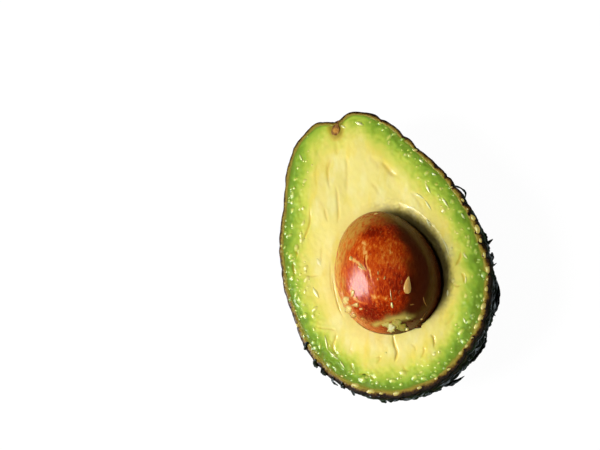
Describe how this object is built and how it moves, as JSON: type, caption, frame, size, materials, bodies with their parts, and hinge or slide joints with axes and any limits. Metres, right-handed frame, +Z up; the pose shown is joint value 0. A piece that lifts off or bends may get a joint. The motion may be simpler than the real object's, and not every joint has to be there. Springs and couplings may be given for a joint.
{
  "type": "avocado half",
  "caption": "Half an avocado cut lengthwise through the stem, lying on its back with pebbled skin, flesh, and the seed standing in its cavity.",
  "frame": {"origin": "middle of the footprint on the surface the half lies on", "axes": "+Z up, square to the cut face; +Y along the fruit to the stem end; +X to the right when the cut face is seen from above with the stem end up"},
  "size_m": [0.0708, 0.1004, 0.0513],
  "materials": {
    "skin": "pebbled, glossy dark green to black, with a tan inner edge",
    "flesh": "moist, soft gloss; butter yellow shading to bright green under the skin",
    "seed": "wet gloss; mottled orange red to deep brown",
    "stem": "dry, rough, brown"
  },
  "bodies": {
    "root": {"skin": "skin", "flesh": "flesh", "seed": "seed", "stem": "stem"}
  },
  "joints": []
}
